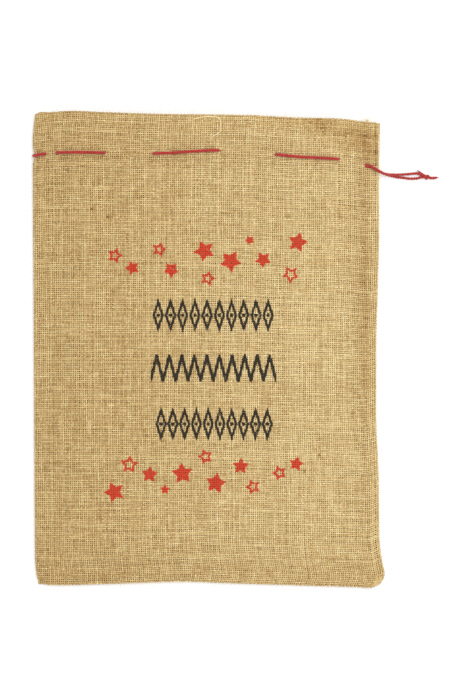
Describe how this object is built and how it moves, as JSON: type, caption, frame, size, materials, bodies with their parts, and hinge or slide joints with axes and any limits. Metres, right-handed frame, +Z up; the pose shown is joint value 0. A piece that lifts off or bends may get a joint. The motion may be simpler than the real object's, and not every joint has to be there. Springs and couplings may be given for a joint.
{
  "type": "fabric gift sack",
  "caption": "Flat-lying jute gift sack with a folded-in mouth hem, inside seams and a cord threaded below the mouth that draws it shut.",
  "frame": {"origin": "centre of the sack's footprint, on the surface it lies on, measured without the free cord ends", "axes": "+Y from the bottom seam to the mouth, +X from the folded side to the seamed side, +Z up"},
  "size_m": [0.3531, 0.4155, 0.0178],
  "materials": {
    "jute_cloth": "open plain weave of natural jute",
    "seam_thread": "matte spun thread",
    "red_cord": "twisted two-ply cotton cord"
  },
  "bodies": {
    "sack": {"front_panel": "jute_cloth", "back_panel": "jute_cloth", "left_fold": "jute_cloth", "front_hem_facing": "jute_cloth", "back_hem_facing": "jute_cloth", "side_allowance_front": "jute_cloth", "side_allowance_back": "jute_cloth", "bottom_allowance_front": "jute_cloth", "bottom_allowance_back": "jute_cloth", "side_seam_thread": "seam_thread", "bottom_seam_thread": "seam_thread", "front_hem_thread": "seam_thread", "back_hem_thread": "seam_thread"},
    "drawstring": {"drawstring_ring": "red_cord", "drawstring_tail_upper": "red_cord", "drawstring_tail_lower": "red_cord", "drawstring_knot": "red_cord", "drawstring_cut_end": "red_cord"}
  },
  "joints": [
    {"name": "drawstring_pull", "type": "slide", "parent": "sack", "child": "drawstring", "axis": [1, 0, 0], "range_m": [0, 0.24], "deforming": ["drawstring_ring"]}
  ]
}
